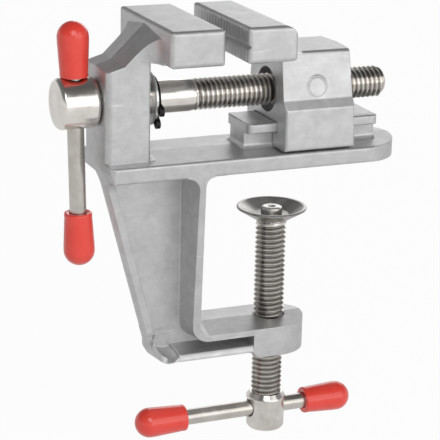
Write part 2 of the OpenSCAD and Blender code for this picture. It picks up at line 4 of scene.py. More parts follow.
import bmesh
import bpy
from mathutils import Matrix, Vector


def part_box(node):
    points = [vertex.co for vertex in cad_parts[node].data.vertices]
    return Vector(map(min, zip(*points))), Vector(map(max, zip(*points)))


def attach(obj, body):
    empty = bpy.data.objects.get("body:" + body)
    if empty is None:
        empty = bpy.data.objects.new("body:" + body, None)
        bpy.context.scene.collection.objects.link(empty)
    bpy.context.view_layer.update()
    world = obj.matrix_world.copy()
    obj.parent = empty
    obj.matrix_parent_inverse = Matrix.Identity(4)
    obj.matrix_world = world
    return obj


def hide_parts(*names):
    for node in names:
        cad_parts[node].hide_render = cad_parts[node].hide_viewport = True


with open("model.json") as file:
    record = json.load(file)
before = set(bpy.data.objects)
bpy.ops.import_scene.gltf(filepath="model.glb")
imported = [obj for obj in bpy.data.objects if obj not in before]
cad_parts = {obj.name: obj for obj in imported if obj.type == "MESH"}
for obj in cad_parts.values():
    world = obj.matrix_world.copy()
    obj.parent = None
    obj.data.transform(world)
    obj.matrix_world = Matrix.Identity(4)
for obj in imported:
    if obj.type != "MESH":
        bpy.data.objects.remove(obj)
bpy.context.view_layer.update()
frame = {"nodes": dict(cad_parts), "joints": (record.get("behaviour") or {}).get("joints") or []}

# ---------------------------------------------------------------------------
# Vise body: one aluminium casting with the fixed jaw, the post, the plate, the
# T-shaped rail, the C-frame and the clamp boss. It comes out of a two-part
# mould, is tumbled to an even satin skin and is milled only on its bench face.
# ---------------------------------------------------------------------------
MM = 0.001


def merged_copy(node):
    """A copy of a CAD solid with its loose triangles joined and its flat faces made whole."""
    bm = bmesh.new()
    bm.from_mesh(frame["nodes"][node].data)
    bmesh.ops.remove_doubles(bm, verts=bm.verts, dist=0.002 * MM)
    bmesh.ops.dissolve_limit(bm, angle_limit=radians(0.3), verts=bm.verts, edges=bm.edges)
    return bm


def shade(bm, crease=32, flat=1.6 * MM):
    """Smooth shading over fillets, with a line wherever two broad flat faces meet."""
    for face in bm.faces:
        face.smooth = True
    for edge in bm.edges:
        if len(edge.link_faces) != 2:
            continue
        turn = edge.calc_face_angle()
        reach = min(face.calc_area() for face in edge.link_faces) / max(edge.calc_length(), 1e-9)
        edge.smooth = not (turn > radians(crease) or (turn > radians(1.5) and reach > flat))


def add_piece(name, bm, material):
    """A new object at the origin, with its place in its mesh."""
    mesh = bpy.data.meshes.new(name)
    bm.to_mesh(mesh)
    bm.free()
    mesh.materials.clear()
    mesh.materials.append(material)
    obj = bpy.data.objects.new(name, mesh)
    bpy.context.scene.collection.objects.link(obj)
    weighted = obj.modifiers.new("even normals", "WEIGHTED_NORMAL")
    weighted.keep_sharp = True
    return obj


def cut_away(bm, cutter):
    """Takes the closed shape in cutter away from the shape in bm."""
    parts = []
    for name, shape in (("work", bm), ("tool", cutter)):
        mesh = bpy.data.meshes.new(name)
        shape.to_mesh(mesh)
        shape.free()
        part = bpy.data.objects.new(name, mesh)
        bpy.context.scene.collection.objects.link(part)
        parts.append(part)
    work, tool = parts
    cut = work.modifiers.new("cut", "BOOLEAN")
    cut.object, cut.operation, cut.solver = tool, "DIFFERENCE", "EXACT"
    left = bpy.data.meshes.new_from_object(work.evaluated_get(bpy.context.evaluated_depsgraph_get()))
    result = bmesh.new()
    result.from_mesh(left)
    for part in parts:
        old = part.data
        bpy.data.objects.remove(part)
        bpy.data.meshes.remove(old)
    bpy.data.meshes.remove(left)
    return result


def block(low_corner, high_corner):
    """A square block between two corners in millimetres, for cutting."""
    low_at, high_at = Vector(low_corner) * MM, Vector(high_corner) * MM
    bm = bmesh.new()
    bmesh.ops.create_cube(bm, size=1.0, matrix=Matrix.LocRotScale((low_at + high_at) / 2, None, high_at - low_at))
    return bm


def turn_profile(profile, place, steps=64):
    """A solid turned from (radius, height) points in millimetres about Z, then put in its place."""
    bm = bmesh.new()
    points = [bm.verts.new((radius * MM, 0, height * MM)) for radius, height in profile]
    edges = [bm.edges.new(pair) for pair in zip(points, points[1:])]
    bmesh.ops.spin(bm, geom=points + edges, cent=(0, 0, 0), axis=(0, 0, 1), dvec=(0, 0, 0),
                   angle=2 * pi, steps=steps, use_merge=True)
    bmesh.ops.remove_doubles(bm, verts=bm.verts, dist=0.001 * MM)
    bmesh.ops.recalc_face_normals(bm, faces=bm.faces)
    bm.transform(place)
    return bm


def join(*shapes):
    """Several closed shapes as one bmesh."""
    whole = bmesh.new()
    for bm in shapes:
        mesh = bpy.data.meshes.new("part")
        bm.to_mesh(mesh)
        bm.free()
        whole.from_mesh(mesh)
        bpy.data.meshes.remove(mesh)
    return whole


def node_group(name, inputs, outputs):
    """An empty shader group with (name, socket type, value) inputs and (name, socket type) outputs."""
    tree = bpy.data.node_groups.new(name, "ShaderNodeTree")
    for label, kind, value in inputs:
        tree.interface.new_socket(name=label, in_out="INPUT", socket_type=kind).default_value = value
    for label, kind in outputs:
        tree.interface.new_socket(name=label, in_out="OUTPUT", socket_type=kind)
    return tree, tree.nodes.new("NodeGroupInput"), tree.nodes.new("NodeGroupOutput")


def add_node(tree, kind, values=None, links=None, **settings):
    """A node with socket values, incoming links and settings."""
    node = tree.nodes.new(kind)
    for key, value in settings.items():
        setattr(node, key, value)
    for key, value in (values or {}).items():
        node.inputs[key].default_value = value
    for key, source in (links or {}).items():
        tree.links.new(source, node.inputs[key])
    return node


def math_node(tree, operation, first, second=None):
    """A Math node that takes sockets or numbers."""
    node = tree.nodes.new("ShaderNodeMath")
    node.operation = operation
    for index, value in enumerate((first, second)):
        if value is None:
            continue
        if isinstance(value, (int, float)):
            node.inputs[index].default_value = value
        else:
            tree.links.new(value, node.inputs[index])
    return node.outputs[0]


def colour_ramp(tree, factor, stops):
    """A Color Ramp with (position, grey or colour) stops."""
    node = tree.nodes.new("ShaderNodeValToRGB")
    elements = node.color_ramp.elements
    while len(elements) < len(stops):
        elements.new(0.5)
    for element, (position, colour) in zip(elements, stops):
        element.position = position
        element.color = (colour, colour, colour, 1) if isinstance(colour, float) else (*colour, 1)
    tree.links.new(factor, node.inputs["Fac"])
    return node.outputs["Color"]


def make_edge_wear_and_highlight_group():
    """A mask that is 1 along outer and inner edges: rubbed wear on the outer edges and a painted highlight along edges
    and fillets.
    """
    tree, given, out = node_group(
        "edge rub", [("Radius", "NodeSocketFloat", 0.0005)],
        [("Mask", "NodeSocketFloat"), ("Normal", "NodeSocketVector")])
    rounded = add_node(tree, "ShaderNodeBevel", links={"Radius": given.outputs["Radius"]}, samples=6)
    geometry = tree.nodes.new("ShaderNodeNewGeometry")
    dot = add_node(tree, "ShaderNodeVectorMath", operation="DOT_PRODUCT",
                   links={0: rounded.outputs["Normal"], 1: geometry.outputs["Normal"]})
    bent = math_node(tree, "SUBTRACT", 1.0, dot.outputs["Value"])
    tree.links.new(math_node(tree, "MULTIPLY", bent, 6.0), out.inputs["Mask"])
    tree.links.new(rounded.outputs["Normal"], out.inputs["Normal"])
    return tree


def make_cast_skin_group():
    """Colour, roughness and height of tumbled cast aluminium: fine grain, faint streaks and a parting line."""
    tree, given, out = node_group(
        "cast skin",
        [("Light", "NodeSocketColor", (0.62, 0.62, 0.62, 1)), ("Dark", "NodeSocketColor", (0.52, 0.52, 0.52, 1)),
         ("Parting line", "NodeSocketFloat", 1.0)],
        [("Color", "NodeSocketColor"), ("Roughness", "NodeSocketFloat"), ("Height", "NodeSocketFloat")])
    place = tree.nodes.new("ShaderNodeTexCoord").outputs["Object"]
    streak_place = add_node(tree, "ShaderNodeMapping", {"Scale": (0.3, 1.0, 1.0)}, {"Vector": place})
    streak = add_node(tree, "ShaderNodeTexNoise", {"Scale": 1300.0, "Detail": 3.0, "Roughness": 0.6},
                      {"Vector": streak_place.outputs["Vector"]})
    cloud = add_node(tree, "ShaderNodeTexNoise", {"Scale": 260.0, "Detail": 6.0, "Roughness": 0.62, "Distortion": 0.6},
                     {"Vector": place})
    grain = add_node(tree, "ShaderNodeTexNoise", {"Scale": 2600.0, "Detail": 2.0, "Roughness": 0.5}, {"Vector": place})
    scratch_place = add_node(tree, "ShaderNodeMapping", {"Rotation": (0.3, 0.5, 0.9), "Scale": (0.06, 1.0, 1.0)},
                             {"Vector": place})
    scratch = add_node(tree, "ShaderNodeTexNoise",
                       {"Scale": 1500.0, "Detail": 2.0, "Roughness": 0.5, "Distortion": 0.3},
                       {"Vector": scratch_place.outputs["Vector"]})
    scratch = colour_ramp(tree, scratch.outputs[0], [(0.68, 0.0), (0.74, 1.0)])
    pits = add_node(tree, "ShaderNodeTexVoronoi", {"Scale": 700.0}, {"Vector": place})
    pit = colour_ramp(tree, pits.outputs["Distance"], [(0.0, 0.0), (0.10, 1.0)])
    shade_mix = math_node(tree, "ADD", math_node(tree, "MULTIPLY", streak.outputs[0], 0.25),
                          math_node(tree, "MULTIPLY", cloud.outputs[0], 0.75))
    tone = colour_ramp(tree, shade_mix, [(0.34, 0.0), (0.66, 1.0)])
    mix = add_node(tree, "ShaderNodeMix", data_type="RGBA")
    tree.links.new(tone, mix.inputs["Factor"])
    tree.links.new(given.outputs["Dark"], mix.inputs["A"])
    tree.links.new(given.outputs["Light"], mix.inputs["B"])
    marked = add_node(tree, "ShaderNodeMix", data_type="RGBA", blend_type="ADD")
    tree.links.new(math_node(tree, "MULTIPLY", scratch, 0.5), marked.inputs["Factor"])
    tree.links.new(mix.outputs["Result"], marked.inputs["A"])
    marked.inputs["B"].default_value = (0.22, 0.22, 0.22, 1)
    tree.links.new(marked.outputs["Result"], out.inputs["Color"])
    rough = math_node(tree, "ADD", 0.40, math_node(tree, "MULTIPLY", grain.outputs[0], 0.12))
    tree.links.new(rough, out.inputs["Roughness"])
    axes = add_node(tree, "ShaderNodeSeparateXYZ", links={"Vector": place})
    beside = math_node(tree, "ABSOLUTE", axes.outputs["Y"])
    line = colour_ramp(tree, math_node(tree, "MULTIPLY", beside, 1000.0), [(0.06, 1.0), (0.22, 0.0)])
    line = math_node(tree, "MULTIPLY", line, given.outputs["Parting line"])
    height = math_node(tree, "ADD", math_node(tree, "MULTIPLY", grain.outputs[0], 0.35),
                       math_node(tree, "MULTIPLY", streak.outputs[0], 0.12))
    height = math_node(tree, "ADD", height, math_node(tree, "MULTIPLY", pit, 0.25))
    height = math_node(tree, "ADD", height, math_node(tree, "MULTIPLY", line, 0.5))
    height = math_node(tree, "SUBTRACT", height, math_node(tree, "MULTIPLY", scratch, 0.4))
    tree.links.new(height, out.inputs["Height"])
    return tree


def make_cast_aluminium(name, light, dark, parting_line):
    """Satin cast aluminium, a little brighter along its edges: rubbed wear on outer edges and a painted highlight
    along all edges and fillets.
    """
    material = bpy.data.materials.new(name)
    material.use_nodes = True
    tree = material.node_tree
    shader = tree.nodes["Principled BSDF"]
    shader.inputs["Metallic"].default_value = 0.85
    skin = add_node(tree, "ShaderNodeGroup", node_tree=cast_skin_group)
    skin.inputs["Light"].default_value = (*light, 1)
    skin.inputs["Dark"].default_value = (*dark, 1)
    skin.inputs["Parting line"].default_value = parting_line
    rub_and_highlight = add_node(tree, "ShaderNodeGroup", node_tree=edge_wear_and_highlight_group)
    rub_and_highlight.inputs["Radius"].default_value = 0.35 * MM
    # Painted highlight: the base colour is lightened along outer and inner edges and fillets, which also stands for
    # rubbed wear on the outer edges.
    brighten = add_node(tree, "ShaderNodeMix", data_type="RGBA", blend_type="ADD")
    tree.links.new(rub_and_highlight.outputs["Mask"], brighten.inputs["Factor"])
    tree.links.new(skin.outputs["Color"], brighten.inputs["A"])
    brighten.inputs["B"].default_value = (0.12, 0.12, 0.12, 1)
    tree.links.new(brighten.outputs["Result"], shader.inputs["Base Color"])
    tree.links.new(skin.outputs["Roughness"], shader.inputs["Roughness"])
    bump = add_node(tree, "ShaderNodeBump", {"Strength": 0.30, "Distance": 0.06 * MM},
                    {"Height": skin.outputs["Height"], "Normal": rub_and_highlight.outputs["Normal"]})
    tree.links.new(bump.outputs["Normal"], shader.inputs["Normal"])
    return material


edge_wear_and_highlight_group = make_edge_wear_and_highlight_group()
cast_skin_group = make_cast_skin_group()
body_aluminium = make_cast_aluminium("body aluminium", (0.64, 0.64, 0.645), (0.52, 0.52, 0.525), 1.0)

# The lower corner in millimetres. An apex is where a face of the leaning flange would meet the arm's.
FLANGE_LEAN, CORNER_TOP_Z, CORNER_END_X = radians(14.84), -40.9, -26.8
OUTER_APEX_X, OUTER_APEX_Z, OUTER_BEND_R = -32.29, -48.03, 3.9
INNER_APEX_X, INNER_APEX_Z, INNER_BEND_R = -30.61, -44.96, 4.5
FLANGE_HALF_W, OUTER_WIDENING, INNER_WIDENING = 2.76, 5.92, 5.27
OUTER_DRAFT, INNER_DRAFT, OUTER_SAG, INNER_SAG = 0.1, 0.09, 0.6, 1.5
BEND_START, BEND_END = 0.35, 0.8


def ramp(value, start, width):
    """0 up to start, 1 from start + width on, and straight in between."""
    return min(max((value - start) / width, 0), 1)


def corner_point(along, apex_x, apex_z, bend_r):
    """A point in X and Z on the way down the leaning flange, round the bend and along the arm, and its angle."""
    turn = pi / 2 - FLANGE_LEAN
    reach = bend_r * tan(turn / 2)
    angle = FLANGE_LEAN + turn * ramp(along, BEND_START, BEND_END - BEND_START)
    rise = max(0, 1 - along / BEND_START) * ((CORNER_TOP_Z - apex_z) / cos(FLANGE_LEAN) - reach)
    x = apex_x + reach - bend_r * cos(angle) - rise * sin(FLANGE_LEAN)
    z = apex_z + bend_r - bend_r * sin(angle) + rise * cos(FLANGE_LEAN)
    return x + max(0, along - BEND_END) / (1 - BEND_END) * (CORNER_END_X - apex_x - reach), z, angle


def flange_corner():
    """The frame's lower corner: the outer flange sweeps round and widens into the foot of the arm. Its near side
    widens through the bend, its far side after it."""
    bm = bmesh.new()
    bmesh.ops.create_grid(bm, x_segments=60, y_segments=16, size=1.0)
    sheet = bmesh.ops.extrude_face_region(bm, geom=bm.faces[:])["geom"]
    bmesh.ops.translate(bm, verts=[item for item in sheet if isinstance(item, bmesh.types.BMVert)], vec=(0, 0, 1))
    for vert in bm.verts:
        along, inside = (vert.co.x + 1) / 2, vert.co.z > 0.5
        share = ramp(along, 0.145, 0.66) if vert.co.y < 0 else ramp(along, 0.5, 0.4)
        bend = sin(pi * ramp(along, 0.28, 0.56))
        half = FLANGE_HALF_W + (INNER_WIDENING if inside else OUTER_WIDENING) * share * share * (3 - 2 * share)
        off = abs(vert.co.y) * half
        if inside:
            x, z, angle = corner_point(along, INNER_APEX_X, INNER_APEX_Z, INNER_BEND_R)
            inset = -INNER_DRAFT * off - INNER_SAG * bend
        else:
            x, z, angle = corner_point(along, OUTER_APEX_X, OUTER_APEX_Z, OUTER_BEND_R)
            inset = OUTER_DRAFT * off - OUTER_SAG * bend
        vert.co = Vector((x + inset * cos(angle), vert.co.y * half, z + inset * sin(angle))) * MM
    bmesh.ops.recalc_face_normals(bm, faces=bm.faces)
    return bm


body_bm = merged_copy("vise_body")
web_half_t, old_corner_x, old_corner_z = 1.15, (-36, -27.3), (-50, -40.95)
body_bm = cut_away(body_bm, join(*[
    block((old_corner_x[0], low_y, old_corner_z[0]), (old_corner_x[1], high_y, old_corner_z[1]))
    for low_y, high_y in ((web_half_t, 10), (-10, -web_half_t))]))
pin_mark = [(0, 10.45), (0.45, 10.47), (0.75, 10.61), (0.75, 11), (0, 11)]
for pin_x, pin_y in ((-5.2, -2.4), (-3.7, -4.4), (25.0, -3.0)):
    body_bm = cut_away(body_bm, turn_profile(pin_mark, Matrix.Translation((pin_x * MM, pin_y * MM, 0)), 24))
shade(body_bm)
corner_bm = flange_corner()
shade(corner_bm, crease=50, flat=9 * MM)
body_bm = join(body_bm, corner_bm)
vise_casting = add_piece("vise_casting", body_bm, body_aluminium)
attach(vise_casting, "vise_frame")
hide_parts("vise_body")

# ---------------------------------------------------------------------------
# Moving jaw: a second aluminium casting. Its block is serrated and grooved on
# the gripping face, and its body is tapped for the main screw and slotted to
# ride on the rail.
# ---------------------------------------------------------------------------
jaw_aluminium = make_cast_aluminium("jaw aluminium", (0.65, 0.65, 0.655), (0.53, 0.53, 0.535), 0.4)

jaw_bm = merged_copy("moving_jaw")
jaw_top_z, jaw_back_x, back_edge_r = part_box("moving_jaw")[1].z / MM, -2.3, 3.6
edge_cut = cut_away(
    block((jaw_back_x - back_edge_r, -19, jaw_top_z - back_edge_r), (jaw_back_x + 1, 19, jaw_top_z + 1)),
    turn_profile([(0, -20), (back_edge_r, -20), (back_edge_r, 20), (0, 20)],
                 Matrix.Translation(((jaw_back_x - back_edge_r) * MM, 0, (jaw_top_z - back_edge_r) * MM))
                 @ Matrix.Rotation(pi / 2, 4, "X"), 96))
jaw_bm = cut_away(jaw_bm, edge_cut)
front_draft = 5.7
front_at = Matrix.Translation(Vector((6.5, -9.66, 19.75)) * MM) @ Matrix.Rotation(radians(90 - front_draft), 4, "X")
pin_ring = [(2.65, -0.3), (2.62, 0.05), (2.5, 0.2), (2.3, 0.22), (2.1, 0.1), (2.0, -0.05), (2.0, -0.3), (2.65, -0.3)]
mark_bm = turn_profile(pin_ring, front_at, 48)
shade(jaw_bm)
shade(mark_bm, crease=50, flat=9 * MM)
jaw_bm = join(jaw_bm, mark_bm)
moving_jaw_casting = add_piece("moving_jaw_casting", jaw_bm, jaw_aluminium)
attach(moving_jaw_casting, "jaw")
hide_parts("moving_jaw")

# ---------------------------------------------------------------------------
# Main screw: turned from one steel bar, with a plain shank inside the post and
# a rolled thread of 1.25 mm pitch beyond it. The head is cross-drilled for the
# sliding handle.
# ---------------------------------------------------------------------------
ALONG_X = Matrix(((0, 0, 1, 0), (0, 1, 0, 0), (-1, 0, 0, 0), (0, 0, 0, 1)))


def rolled_thread(low, high, crest_r, pitch, run_out, tip, place, steps=40):
    """A right-hand thread along Z from low to high in millimetres. It fades into the shank over
    run_out and its free end is coned over tip; a negative run_out fades at the upper end."""
    depth = 0.58 * pitch  # a rolled thread's, a little under the full form
    outline = [(0.0, depth), (0.08, depth), (0.44, 0.0), (0.56, 0.0), (0.92, depth), (1.0, depth)]
    bm = bmesh.new()
    first = low - 2 * pitch
    points = [bm.verts.new(((crest_r - drop) * MM, 0, (first + share * pitch) * MM)) for share, drop in outline]
    edges = [bm.edges.new(pair) for pair in zip(points, points[1:])]
    turns = int((high - low) / pitch) + 4
    bmesh.ops.spin(bm, geom=points + edges, cent=(0, 0, 0), axis=(0, 0, 1), dvec=(0, 0, pitch * MM / steps),
                   angle=2 * pi * turns, steps=steps * turns, use_merge=False)
    bmesh.ops.remove_doubles(bm, verts=bm.verts, dist=0.002 * MM)
    for height, clear_above in ((low, False), (high, True)):
        cut = bmesh.ops.bisect_plane(
            bm, geom=bm.verts[:] + bm.edges[:] + bm.faces[:], dist=1e-7, plane_co=(0, 0, height * MM),
            plane_no=(0, 0, 1), clear_outer=clear_above, clear_inner=not clear_above)
        rim = [item for item in cut["geom_cut"] if isinstance(item, bmesh.types.BMEdge)]
        bmesh.ops.contextual_create(bm, geom=rim)
    for vert in bm.verts:
        radius = vert.co.xy.length / MM
        height = vert.co.z / MM
        if radius < 0.1:
            continue
        from_end = (height - low) if run_out > 0 else (high - height)
        from_tip = (high - height) if run_out > 0 else (height - low)
        wanted = crest_r - (crest_r - radius) * min(1.0, from_end / abs(run_out))
        wanted = min(wanted, crest_r - max(0.0, tip - from_tip))
        vert.co.xy *= wanted / radius
    bmesh.ops.recalc_face_normals(bm, faces=bm.faces)
    bm.transform(place)
    return bm


def make_turned_steel_group():
    """Colour, roughness and height of turned steel: fine rings across the given axis, soft handling marks and painted
    shade in the thread valleys.
    """
    tree, given, out = node_group(
        "turned steel",
        [("Stretch", "NodeSocketVector", (1.0, 0.05, 0.05)), ("Light", "NodeSocketColor", (0.7, 0.66, 0.6, 1)),
         ("Dark", "NodeSocketColor", (0.5, 0.46, 0.42, 1)), ("Roughness", "NodeSocketFloat", 0.26),
         ("Along", "NodeSocketVector", (0, 0, 0)), ("Across", "NodeSocketVector", (0, 0, 0)),
         ("Axis height", "NodeSocketFloat", 0.0), ("Thread start", "NodeSocketFloat", 0.0),
         ("Valley shade", "NodeSocketFloat", 0.0)],
        [("Color", "NodeSocketColor"), ("Roughness", "NodeSocketFloat"), ("Height", "NodeSocketFloat")])
    place = tree.nodes.new("ShaderNodeTexCoord").outputs["Object"]
    ringed = add_node(tree, "ShaderNodeVectorMath", operation="MULTIPLY",
                      links={0: place, 1: given.outputs["Stretch"]})
    rings = add_node(tree, "ShaderNodeTexNoise", {"Scale": 2600.0, "Detail": 2.0, "Roughness": 0.5},
                     {"Vector": ringed.outputs["Vector"]})
    marks = add_node(tree, "ShaderNodeTexNoise", {"Scale": 260.0, "Detail": 4.0, "Roughness": 0.6}, {"Vector": place})
    mix = add_node(tree, "ShaderNodeMix", data_type="RGBA")
    tree.links.new(colour_ramp(tree, marks.outputs[0], [(0.35, 0.0), (0.65, 1.0)]), mix.inputs["Factor"])
    tree.links.new(given.outputs["Dark"], mix.inputs["A"])
    tree.links.new(given.outputs["Light"], mix.inputs["B"])
    axis_point = add_node(tree, "ShaderNodeCombineXYZ", links={"Z": given.outputs["Axis height"]})
    aside = add_node(tree, "ShaderNodeVectorMath", operation="SUBTRACT", links={0: place, 1: axis_point.outputs[0]})
    aside = add_node(tree, "ShaderNodeVectorMath", operation="MULTIPLY",
                     links={0: aside.outputs["Vector"], 1: given.outputs["Across"]})
    radius = add_node(tree, "ShaderNodeVectorMath", operation="LENGTH", links={0: aside.outputs["Vector"]})
    # Painted shade: past the thread start the colour is darkened between the thread's root and crest, as shade lying
    # in the valleys.
    out_of_valley = colour_ramp(tree, math_node(tree, "MULTIPLY", radius.outputs["Value"], 100.0),
                        [(0.30, 1.0), (0.315, 0.0), (0.352, 0.30), (0.372, 1.0)])
    travel = add_node(tree, "ShaderNodeVectorMath", operation="DOT_PRODUCT",
                      links={0: place, 1: given.outputs["Along"]})
    threaded = math_node(tree, "GREATER_THAN", travel.outputs["Value"], given.outputs["Thread start"])
    valley_shade = math_node(tree, "MULTIPLY", given.outputs["Valley shade"], threaded)
    valley_shaded = math_node(tree, "SUBTRACT", 1.0, math_node(
        tree, "MULTIPLY", valley_shade, math_node(tree, "SUBTRACT", 1.0, out_of_valley)))
    dull = add_node(tree, "ShaderNodeVectorMath", operation="SCALE",
                    links={0: mix.outputs["Result"], "Scale": valley_shaded})
    tree.links.new(dull.outputs["Vector"], out.inputs["Color"])
    rough = math_node(tree, "ADD", given.outputs["Roughness"],
                      math_node(tree, "MULTIPLY", math_node(tree, "SUBTRACT", marks.outputs[0], 0.5), 0.22))
    tree.links.new(rough, out.inputs["Roughness"])
    tree.links.new(rings.outputs[0], out.inputs["Height"])
    return tree


def make_steel(name, stretch, light, dark, roughness, bump_strength, along=(0, 0, 0), axis_height=0.0,
               thread_start=0.0, valley_shade=0.0):
    """Bright turned or drawn steel; its last argument sets painted shade in the thread valleys."""
    material = bpy.data.materials.new(name)
    material.use_nodes = True
    tree = material.node_tree
    shader = tree.nodes["Principled BSDF"]
    shader.inputs["Metallic"].default_value = 1.0
    skin = add_node(tree, "ShaderNodeGroup", node_tree=turned_steel_group)
    skin.inputs["Stretch"].default_value = stretch
    skin.inputs["Light"].default_value = (*light, 1)
    skin.inputs["Dark"].default_value = (*dark, 1)
    skin.inputs["Roughness"].default_value = roughness
    skin.inputs["Along"].default_value = along
    skin.inputs["Across"].default_value = [1 - share for share in along]
    skin.inputs["Thread start"].default_value = thread_start
    skin.inputs["Axis height"].default_value = axis_height
    skin.inputs["Valley shade"].default_value = valley_shade
    tree.links.new(skin.outputs["Color"], shader.inputs["Base Color"])
    tree.links.new(skin.outputs["Roughness"], shader.inputs["Roughness"])
    bump = add_node(tree, "ShaderNodeBump", {"Strength": bump_strength, "Distance": 0.03 * MM},
                    {"Height": skin.outputs["Height"]})
    tree.links.new(bump.outputs["Normal"], shader.inputs["Normal"])
    return material


turned_steel_group = make_turned_steel_group()
screw_low, screw_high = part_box("main_screw")
SCREW_Z = (screw_low.z + screw_high.z) / 2
# The last number is the painted shade in the screw's thread valleys.
screw_steel = make_steel("screw steel", (1.0, 0.04, 0.04), (0.86, 0.83, 0.79), (0.74, 0.70, 0.65), 0.20, 0.04,
                         (1, 0, 0), SCREW_Z, -0.0235, 0.5)
screw_place = Matrix.Translation((0, 0, SCREW_Z)) @ ALONG_X
head_x, head_l, head_r = screw_low.x / MM, 9.5, 6.1
shank_r, thread_crest_r, thread_start_x, thread_end_x = 3.95, 3.86, -23.4, screw_high.x / MM
ring_x, groove_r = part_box("retaining_ring")[0].x / MM, 3.3
head_profile = [
    (0, head_x), (head_r - 1.1, head_x), (head_r - 0.75, head_x + 0.08), (head_r - 0.5, head_x + 0.25),
    (head_r - 0.15, head_x + 0.7), (head_r, head_x + 1.1), (head_r, head_x + head_l - 1.1),
    (head_r - 0.12, head_x + head_l - 0.6), (head_r - 0.4, head_x + head_l - 0.2),
    (head_r - 0.8, head_x + head_l), (shank_r, head_x + head_l), (shank_r, ring_x - 0.02),
    (groove_r, ring_x - 0.02), (groove_r, ring_x + 0.95), (shank_r, ring_x + 0.95),
    (shank_r, thread_start_x + 0.2), (thread_crest_r - 0.05, thread_start_x + 1.2), (0, thread_start_x + 1.2)]
head_bm = turn_profile(head_profile, screw_place)
CROSS_HOLE = [(0, -9), (2.28, -9), (2.28, 9), (0, 9)]
head_bm = cut_away(head_bm, turn_profile(CROSS_HOLE, Matrix.Translation(((head_x + head_l / 2) * MM, 0, SCREW_Z))))
THREAD_PITCH = 1.25
thread_bm = rolled_thread(thread_start_x + 0.2, thread_end_x, thread_crest_r, THREAD_PITCH, 2.2, 1.2, screw_place)
main_screw_bm = join(head_bm, thread_bm)
shade(main_screw_bm, crease=40, flat=3 * MM)
main_screw = add_piece("main_screw_turned", main_screw_bm, screw_steel)
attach(main_screw, "screw")
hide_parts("main_screw")

# ---------------------------------------------------------------------------
# Thrust washer: a bright plated washer that turns with the screw inside the
# post. It is stamped, so its outer edge is a little rounded.
# ---------------------------------------------------------------------------
washer_plating = make_steel("washer plating", (1.0, 0.3, 0.3), (0.80, 0.80, 0.79), (0.70, 0.70, 0.69), 0.24, 0.08)

washer_low, washer_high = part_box("thrust_washer")
washer_x0, washer_x1 = washer_low.x / MM, washer_high.x / MM
washer_r = (washer_high.z - washer_low.z) / 2 / MM
washer_bm = turn_profile([
    (4.02, washer_x0 + 0.1), (4.1, washer_x0), (washer_r - 0.25, washer_x0), (washer_r, washer_x0 + 0.25),
    (washer_r, washer_x1 - 0.1), (washer_r - 0.1, washer_x1), (4.1, washer_x1), (4.02, washer_x1 - 0.1),
    (4.02, washer_x0 + 0.1)], screw_place)
shade(washer_bm)
washer = add_piece("thrust_washer_plated", washer_bm, washer_plating)
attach(washer, "screw")
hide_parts("thrust_washer")

# ---------------------------------------------------------------------------
# Retaining ring: a spring-steel ring, blackened, snapped into the screw's
# groove. Its two lugs have holes for the pliers that fit it.
# ---------------------------------------------------------------------------
ring_black = make_steel("blackened spring steel", (1.0, 0.5, 0.5), (0.035, 0.034, 0.033), (0.015, 0.015, 0.015),
                        0.36, 0.10)

ring_bm = merged_copy("retaining_ring")
shade(ring_bm)
ring = add_piece("retaining_ring_blackened", ring_bm, ring_black)
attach(ring, "screw")
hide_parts("retaining_ring")

# ---------------------------------------------------------------------------
# Main handle: a drawn steel bar that slides through the screw's head and rests
# on its upper cap. Both ends carry a red moulded vinyl cap with a domed end.
# ---------------------------------------------------------------------------


def handle_bar(length, radius, place):
    """A plain bar along Z about its middle, rounded at both ends."""
    half = length / 2
    return turn_profile([(0, -half), (radius - 0.4, -half), (radius - 0.12, -half + 0.12), (radius, -half + 0.4),
                         (radius, half - 0.4), (radius - 0.12, half - 0.12), (radius - 0.4, half), (0, half)],
                        place, 40)


def handle_cap(length, open_r, dome_r, bar_r, grip, place):
    """A moulded cap from its open end at the origin to its domed end, with a small lip and a bar socket."""
    side = [(open_r - 0.35, 0), (open_r - 0.1, 0.06), (open_r, 0.25), (open_r + 0.02, 0.8), (open_r - 0.03, 1.1),
            (open_r + 0.05, 2.2), (open_r + 0.16, 4.2), (dome_r - 0.12, 6.6), (dome_r - 0.03, 8.0)]
    dome = [(dome_r * cos(radians(a)), length - dome_r * (1 - sin(radians(a)))) for a in range(4, 87, 7)]
    socket = [(0, grip), (bar_r + 0.04, grip), (bar_r + 0.04, 0.35), (bar_r + 0.25, 0.0)]
    return turn_profile([(0, length)] + dome[::-1] + side[::-1] + socket[::-1], place, 56)


